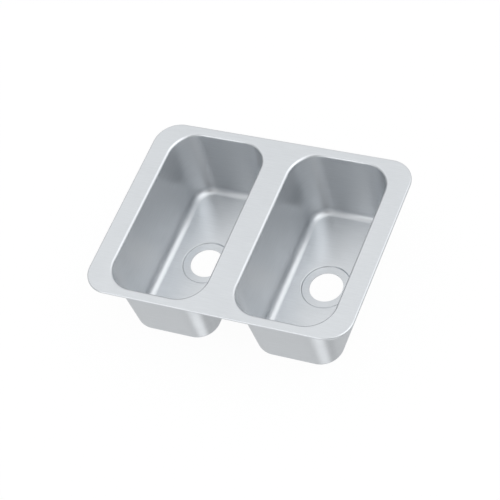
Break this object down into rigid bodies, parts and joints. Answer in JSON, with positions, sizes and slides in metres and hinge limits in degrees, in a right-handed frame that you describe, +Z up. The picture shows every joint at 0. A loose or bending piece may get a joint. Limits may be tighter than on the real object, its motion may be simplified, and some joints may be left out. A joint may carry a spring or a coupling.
{
  "type": "double bowl kitchen sink",
  "caption": "Drop-in sink: a flat rim over two long narrow pressed bowls, each with an open drain hole, and sliding clips under the rim that clamp it to a counter.",
  "frame": {"origin": "centre of the counter cut-out, at the top of the counter", "axes": "+X along the rim's long side, +Y to the back, +Z up out of the bowls"},
  "size_m": [0.426, 0.329, 0.1298],
  "materials": {
    "sheet_steel": "satin",
    "weld_metal": "rough",
    "rail_steel": "rolled",
    "plated_steel": "zinc plated",
    "seal_foam": "matt",
    "sound_pad": "matt"
  },
  "bodies": {
    "sink": {"deck_plate": "sheet_steel", "left_bowl": "sheet_steel", "right_bowl": "sheet_steel", "left_bowl_weld": "weld_metal", "right_bowl_weld": "weld_metal", "rim_seal": "seal_foam", "left_clip_rail": "rail_steel", "right_clip_rail": "rail_steel", "left_front_pad": "sound_pad", "left_back_pad": "sound_pad", "right_front_pad": "sound_pad", "right_back_pad": "sound_pad"},
    "left_front_hanger": {"left_front_hanger_bolt": "plated_steel"},
    "left_front_lift_washer": {"left_front_washer": "plated_steel"},
    "left_front_nut": {"left_front_wing_nut": "plated_steel"},
    "left_front_clamp": {"left_front_claw": "plated_steel"},
    "left_back_hanger": {"left_back_hanger_bolt": "plated_steel"},
    "left_back_lift_washer": {"left_back_washer": "plated_steel"},
    "left_back_nut": {"left_back_wing_nut": "plated_steel"},
    "left_back_clamp": {"left_back_claw": "plated_steel"},
    "right_front_hanger": {"right_front_hanger_bolt": "plated_steel"},
    "right_front_lift_washer": {"right_front_washer": "plated_steel"},
    "right_front_nut": {"right_front_wing_nut": "plated_steel"},
    "right_front_clamp": {"right_front_claw": "plated_steel"},
    "right_back_hanger": {"right_back_hanger_bolt": "plated_steel"},
    "right_back_lift_washer": {"right_back_washer": "plated_steel"},
    "right_back_nut": {"right_back_wing_nut": "plated_steel"},
    "right_back_clamp": {"right_back_claw": "plated_steel"}
  },
  "joints": [
    {"name": "left_front_bolt_slide", "type": "slide", "parent": "sink", "child": "left_front_hanger", "axis": [0, 1, 0], "range_m": [-0.038, 0.046]},
    {"name": "left_front_washer_lift", "type": "slide", "parent": "left_front_hanger", "child": "left_front_lift_washer", "axis": [0, 0, 1], "range_m": [0, 0.0165]},
    {"name": "left_front_nut_turn", "type": "hinge", "parent": "left_front_lift_washer", "child": "left_front_nut", "pos_m": [-0.1898, -0.074, 0], "axis": [0, 0, 1], "range_deg": [0, 7425]},
    {"name": "left_front_claw_swing", "type": "hinge", "parent": "left_front_lift_washer", "child": "left_front_clamp", "pos_m": [-0.1898, -0.074, 0], "axis": [0, 0, -1], "range_deg": [0, 180]},
    {"name": "left_back_bolt_slide", "type": "slide", "parent": "sink", "child": "left_back_hanger", "axis": [0, 1, 0], "range_m": [-0.046, 0.038]},
    {"name": "left_back_washer_lift", "type": "slide", "parent": "left_back_hanger", "child": "left_back_lift_washer", "axis": [0, 0, 1], "range_m": [0, 0.0165]},
    {"name": "left_back_nut_turn", "type": "hinge", "parent": "left_back_lift_washer", "child": "left_back_nut", "pos_m": [-0.1898, 0.074, 0], "axis": [0, 0, 1], "range_deg": [0, 7425]},
    {"name": "left_back_claw_swing", "type": "hinge", "parent": "left_back_lift_washer", "child": "left_back_clamp", "pos_m": [-0.1898, 0.074, 0], "axis": [0, 0, 1], "range_deg": [0, 180]},
    {"name": "right_front_bolt_slide", "type": "slide", "parent": "sink", "child": "right_front_hanger", "axis": [0, 1, 0], "range_m": [-0.038, 0.046]},
    {"name": "right_front_washer_lift", "type": "slide", "parent": "right_front_hanger", "child": "right_front_lift_washer", "axis": [0, 0, 1], "range_m": [0, 0.0165]},
    {"name": "right_front_nut_turn", "type": "hinge", "parent": "right_front_lift_washer", "child": "right_front_nut", "pos_m": [0.1898, -0.074, 0], "axis": [0, 0, 1], "range_deg": [0, 7425]},
    {"name": "right_front_claw_swing", "type": "hinge", "parent": "right_front_lift_washer", "child": "right_front_clamp", "pos_m": [0.1898, -0.074, 0], "axis": [0, 0, 1], "range_deg": [0, 180]},
    {"name": "right_back_bolt_slide", "type": "slide", "parent": "sink", "child": "right_back_hanger", "axis": [0, 1, 0], "range_m": [-0.046, 0.038]},
    {"name": "right_back_washer_lift", "type": "slide", "parent": "right_back_hanger", "child": "right_back_lift_washer", "axis": [0, 0, 1], "range_m": [0, 0.0165]},
    {"name": "right_back_nut_turn", "type": "hinge", "parent": "right_back_lift_washer", "child": "right_back_nut", "pos_m": [0.1898, 0.074, 0], "axis": [0, 0, 1], "range_deg": [0, 7425]},
    {"name": "right_back_claw_swing", "type": "hinge", "parent": "right_back_lift_washer", "child": "right_back_clamp", "pos_m": [0.1898, 0.074, 0], "axis": [0, 0, -1], "range_deg": [0, 180]}
  ],
  "couplings": [
    {"joint": "left_front_nut_turn", "follows": "left_front_washer_lift", "rad_per_m": 7854},
    {"joint": "left_back_nut_turn", "follows": "left_back_washer_lift", "rad_per_m": 7854},
    {"joint": "right_front_nut_turn", "follows": "right_front_washer_lift", "rad_per_m": 7854},
    {"joint": "right_back_nut_turn", "follows": "right_back_washer_lift", "rad_per_m": 7854}
  ]
}
